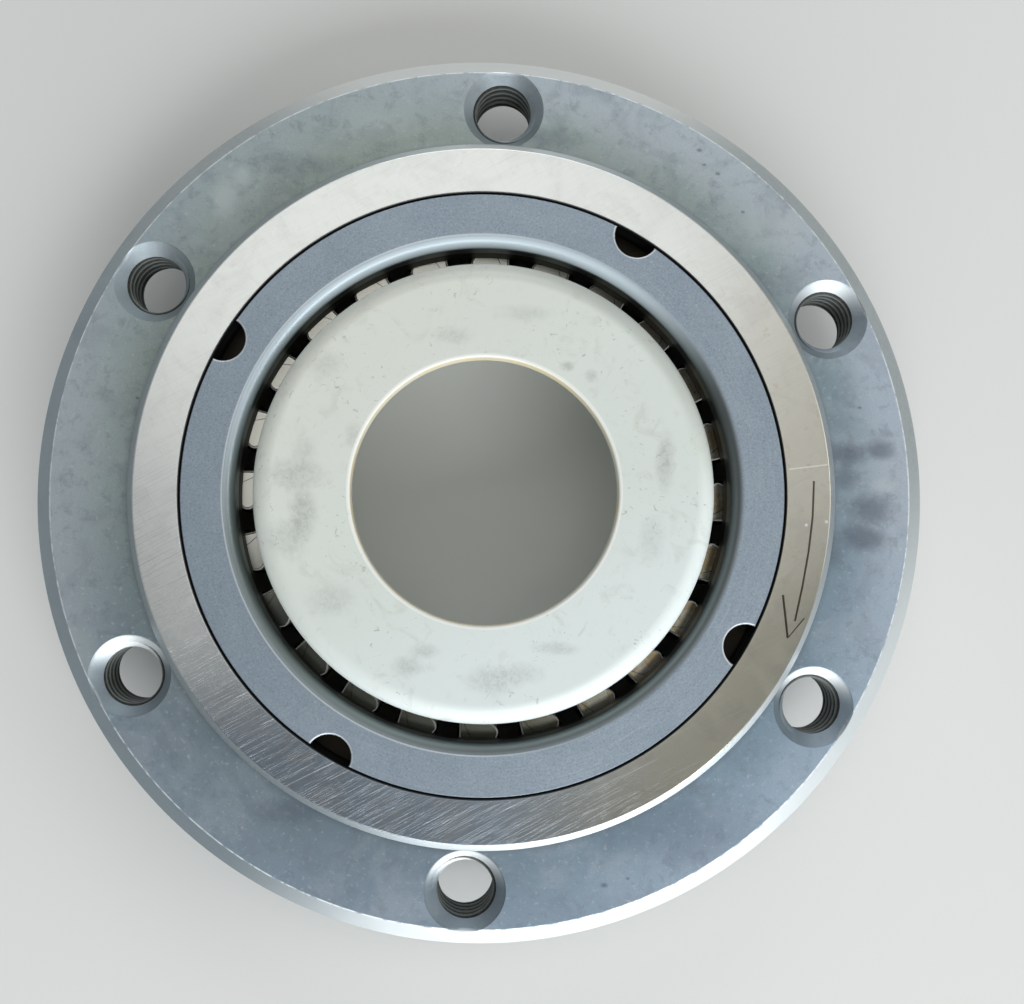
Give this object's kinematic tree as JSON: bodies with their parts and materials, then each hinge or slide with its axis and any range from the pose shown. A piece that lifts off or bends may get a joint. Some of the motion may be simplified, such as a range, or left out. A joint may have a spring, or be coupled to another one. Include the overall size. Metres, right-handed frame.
{
  "type": "one-way clutch bearing",
  "caption": "Flanged one-way clutch outer race with a caged sprag set, an end ring flush in its front boss, threaded flange holes and a moulded transport plug.",
  "frame": {"origin": "centre of the rear hub's face, which the clutch lies on", "axes": "+Z along the clutch's axis out of the front face with the boss and end ring; the flange's threaded holes lie at 30, 90, 150 ... degrees from +X"},
  "size_m": [0.1084, 0.1084, 0.021],
  "materials": {
    "race_steel": "heat-treated and part ground",
    "ring_steel": "fine turned",
    "sprag_steel": "tumbled and polished",
    "cage_steel": "dark pressed sheet",
    "spring_steel": "satin strip",
    "plug_plastic": "matt moulded"
  },
  "bodies": {
    "outer_race": {"clutch_outer": "race_steel", "end_ring": "ring_steel"},
    "sprag_cage": {"outer_cage": "cage_steel", "ribbon_spring": "spring_steel"},
    "inner_cage": {"inner_cage": "cage_steel"},
    "transport_plug": {"transport_plug": "plug_plastic"},
    "sprag_01": {"sprag_01": "sprag_steel"},
    "sprag_02": {"sprag_02": "sprag_steel"},
    "sprag_03": {"sprag_03": "sprag_steel"},
    "sprag_04": {"sprag_04": "sprag_steel"},
    "sprag_05": {"sprag_05": "sprag_steel"},
    "sprag_06": {"sprag_06": "sprag_steel"},
    "sprag_07": {"sprag_07": "sprag_steel"},
    "sprag_08": {"sprag_08": "sprag_steel"},
    "sprag_09": {"sprag_09": "sprag_steel"},
    "sprag_10": {"sprag_10": "sprag_steel"},
    "sprag_11": {"sprag_11": "sprag_steel"},
    "sprag_12": {"sprag_12": "sprag_steel"},
    "sprag_13": {"sprag_13": "sprag_steel"},
    "sprag_14": {"sprag_14": "sprag_steel"},
    "sprag_15": {"sprag_15": "sprag_steel"},
    "sprag_16": {"sprag_16": "sprag_steel"},
    "sprag_17": {"sprag_17": "sprag_steel"},
    "sprag_18": {"sprag_18": "sprag_steel"},
    "sprag_19": {"sprag_19": "sprag_steel"},
    "sprag_20": {"sprag_20": "sprag_steel"},
    "sprag_21": {"sprag_21": "sprag_steel"},
    "sprag_22": {"sprag_22": "sprag_steel"},
    "sprag_23": {"sprag_23": "sprag_steel"},
    "sprag_24": {"sprag_24": "sprag_steel"}
  },
  "joints": [
    {"name": "sprag_set_turn", "type": "hinge", "parent": "outer_race", "child": "sprag_cage", "pos_m": [0, 0, 0.008], "axis": [0, 0, 1], "range_deg": [-360, 0]},
    {"name": "inner_cage_turn", "type": "hinge", "parent": "sprag_cage", "child": "inner_cage", "pos_m": [0, 0, 0.008], "axis": [0, 0, 1], "range_deg": [-1.6, 0], "stiffness_Nm_per_rad": 0.5, "springref_deg": 0.57},
    {"name": "plug_pull", "type": "slide", "parent": "sprag_cage", "child": "transport_plug", "axis": [0, 0, 1], "range_m": [0, 0.03]},
    {"name": "sprag_01_rock", "type": "hinge", "parent": "sprag_cage", "child": "sprag_01", "pos_m": [0.03389, 0.00077, 0.008], "axis": [0, 0, 1], "range_deg": [0, 12]},
    {"name": "sprag_02_rock", "type": "hinge", "parent": "sprag_cage", "child": "sprag_02", "pos_m": [0.03254, 0.00951, 0.008], "axis": [0, 0, 1], "range_deg": [0, 12]},
    {"name": "sprag_03_rock", "type": "hinge", "parent": "sprag_cage", "child": "sprag_03", "pos_m": [0.02897, 0.01761, 0.008], "axis": [0, 0, 1], "range_deg": [0, 12]},
    {"name": "sprag_04_rock", "type": "hinge", "parent": "sprag_cage", "child": "sprag_04", "pos_m": [0.02342, 0.02451, 0.008], "axis": [0, 0, 1], "range_deg": [0, 12]},
    {"name": "sprag_05_rock", "type": "hinge", "parent": "sprag_cage", "child": "sprag_05", "pos_m": [0.01628, 0.02974, 0.008], "axis": [0, 0, 1], "range_deg": [0, 12]},
    {"name": "sprag_06_rock", "type": "hinge", "parent": "sprag_cage", "child": "sprag_06", "pos_m": [0.00803, 0.03294, 0.008], "axis": [0, 0, 1], "range_deg": [0, 12]},
    {"name": "sprag_07_rock", "type": "hinge", "parent": "sprag_cage", "child": "sprag_07", "pos_m": [-0.00077, 0.03389, 0.008], "axis": [0, 0, 1], "range_deg": [0, 12]},
    {"name": "sprag_08_rock", "type": "hinge", "parent": "sprag_cage", "child": "sprag_08", "pos_m": [-0.00951, 0.03254, 0.008], "axis": [0, 0, 1], "range_deg": [0, 12]},
    {"name": "sprag_09_rock", "type": "hinge", "parent": "sprag_cage", "child": "sprag_09", "pos_m": [-0.01761, 0.02897, 0.008], "axis": [0, 0, 1], "range_deg": [0, 12]},
    {"name": "sprag_10_rock", "type": "hinge", "parent": "sprag_cage", "child": "sprag_10", "pos_m": [-0.02451, 0.02342, 0.008], "axis": [0, 0, 1], "range_deg": [0, 12]},
    {"name": "sprag_11_rock", "type": "hinge", "parent": "sprag_cage", "child": "sprag_11", "pos_m": [-0.02974, 0.01628, 0.008], "axis": [0, 0, 1], "range_deg": [0, 12]},
    {"name": "sprag_12_rock", "type": "hinge", "parent": "sprag_cage", "child": "sprag_12", "pos_m": [-0.03294, 0.00803, 0.008], "axis": [0, 0, 1], "range_deg": [0, 12]},
    {"name": "sprag_13_rock", "type": "hinge", "parent": "sprag_cage", "child": "sprag_13", "pos_m": [-0.03389, -0.00077, 0.008], "axis": [0, 0, 1], "range_deg": [0, 12]},
    {"name": "sprag_14_rock", "type": "hinge", "parent": "sprag_cage", "child": "sprag_14", "pos_m": [-0.03254, -0.00951, 0.008], "axis": [0, 0, 1], "range_deg": [0, 12]},
    {"name": "sprag_15_rock", "type": "hinge", "parent": "sprag_cage", "child": "sprag_15", "pos_m": [-0.02897, -0.01761, 0.008], "axis": [0, 0, 1], "range_deg": [0, 12]},
    {"name": "sprag_16_rock", "type": "hinge", "parent": "sprag_cage", "child": "sprag_16", "pos_m": [-0.02342, -0.02451, 0.008], "axis": [0, 0, 1], "range_deg": [0, 12]},
    {"name": "sprag_17_rock", "type": "hinge", "parent": "sprag_cage", "child": "sprag_17", "pos_m": [-0.01628, -0.02974, 0.008], "axis": [0, 0, 1], "range_deg": [0, 12]},
    {"name": "sprag_18_rock", "type": "hinge", "parent": "sprag_cage", "child": "sprag_18", "pos_m": [-0.00803, -0.03294, 0.008], "axis": [0, 0, 1], "range_deg": [0, 12]},
    {"name": "sprag_19_rock", "type": "hinge", "parent": "sprag_cage", "child": "sprag_19", "pos_m": [0.00077, -0.03389, 0.008], "axis": [0, 0, 1], "range_deg": [0, 12]},
    {"name": "sprag_20_rock", "type": "hinge", "parent": "sprag_cage", "child": "sprag_20", "pos_m": [0.00951, -0.03254, 0.008], "axis": [0, 0, 1], "range_deg": [0, 12]},
    {"name": "sprag_21_rock", "type": "hinge", "parent": "sprag_cage", "child": "sprag_21", "pos_m": [0.01761, -0.02897, 0.008], "axis": [0, 0, 1], "range_deg": [0, 12]},
    {"name": "sprag_22_rock", "type": "hinge", "parent": "sprag_cage", "child": "sprag_22", "pos_m": [0.02451, -0.02342, 0.008], "axis": [0, 0, 1], "range_deg": [0, 12]},
    {"name": "sprag_23_rock", "type": "hinge", "parent": "sprag_cage", "child": "sprag_23", "pos_m": [0.02974, -0.01628, 0.008], "axis": [0, 0, 1], "range_deg": [0, 12]},
    {"name": "sprag_24_rock", "type": "hinge", "parent": "sprag_cage", "child": "sprag_24", "pos_m": [0.03294, -0.00803, 0.008], "axis": [0, 0, 1], "range_deg": [0, 12]}
  ],
  "couplings": [
    {"joint": "sprag_01_rock", "follows": "inner_cage_turn", "ratio": -7.45},
    {"joint": "sprag_02_rock", "follows": "inner_cage_turn", "ratio": -7.45},
    {"joint": "sprag_03_rock", "follows": "inner_cage_turn", "ratio": -7.45},
    {"joint": "sprag_04_rock", "follows": "inner_cage_turn", "ratio": -7.45},
    {"joint": "sprag_05_rock", "follows": "inner_cage_turn", "ratio": -7.45},
    {"joint": "sprag_06_rock", "follows": "inner_cage_turn", "ratio": -7.45},
    {"joint": "sprag_07_rock", "follows": "inner_cage_turn", "ratio": -7.45},
    {"joint": "sprag_08_rock", "follows": "inner_cage_turn", "ratio": -7.45},
    {"joint": "sprag_09_rock", "follows": "inner_cage_turn", "ratio": -7.45},
    {"joint": "sprag_10_rock", "follows": "inner_cage_turn", "ratio": -7.45},
    {"joint": "sprag_11_rock", "follows": "inner_cage_turn", "ratio": -7.45},
    {"joint": "sprag_12_rock", "follows": "inner_cage_turn", "ratio": -7.45},
    {"joint": "sprag_13_rock", "follows": "inner_cage_turn", "ratio": -7.45},
    {"joint": "sprag_14_rock", "follows": "inner_cage_turn", "ratio": -7.45},
    {"joint": "sprag_15_rock", "follows": "inner_cage_turn", "ratio": -7.45},
    {"joint": "sprag_16_rock", "follows": "inner_cage_turn", "ratio": -7.45},
    {"joint": "sprag_17_rock", "follows": "inner_cage_turn", "ratio": -7.45},
    {"joint": "sprag_18_rock", "follows": "inner_cage_turn", "ratio": -7.45},
    {"joint": "sprag_19_rock", "follows": "inner_cage_turn", "ratio": -7.45},
    {"joint": "sprag_20_rock", "follows": "inner_cage_turn", "ratio": -7.45},
    {"joint": "sprag_21_rock", "follows": "inner_cage_turn", "ratio": -7.45},
    {"joint": "sprag_22_rock", "follows": "inner_cage_turn", "ratio": -7.45},
    {"joint": "sprag_23_rock", "follows": "inner_cage_turn", "ratio": -7.45},
    {"joint": "sprag_24_rock", "follows": "inner_cage_turn", "ratio": -7.45}
  ]
}
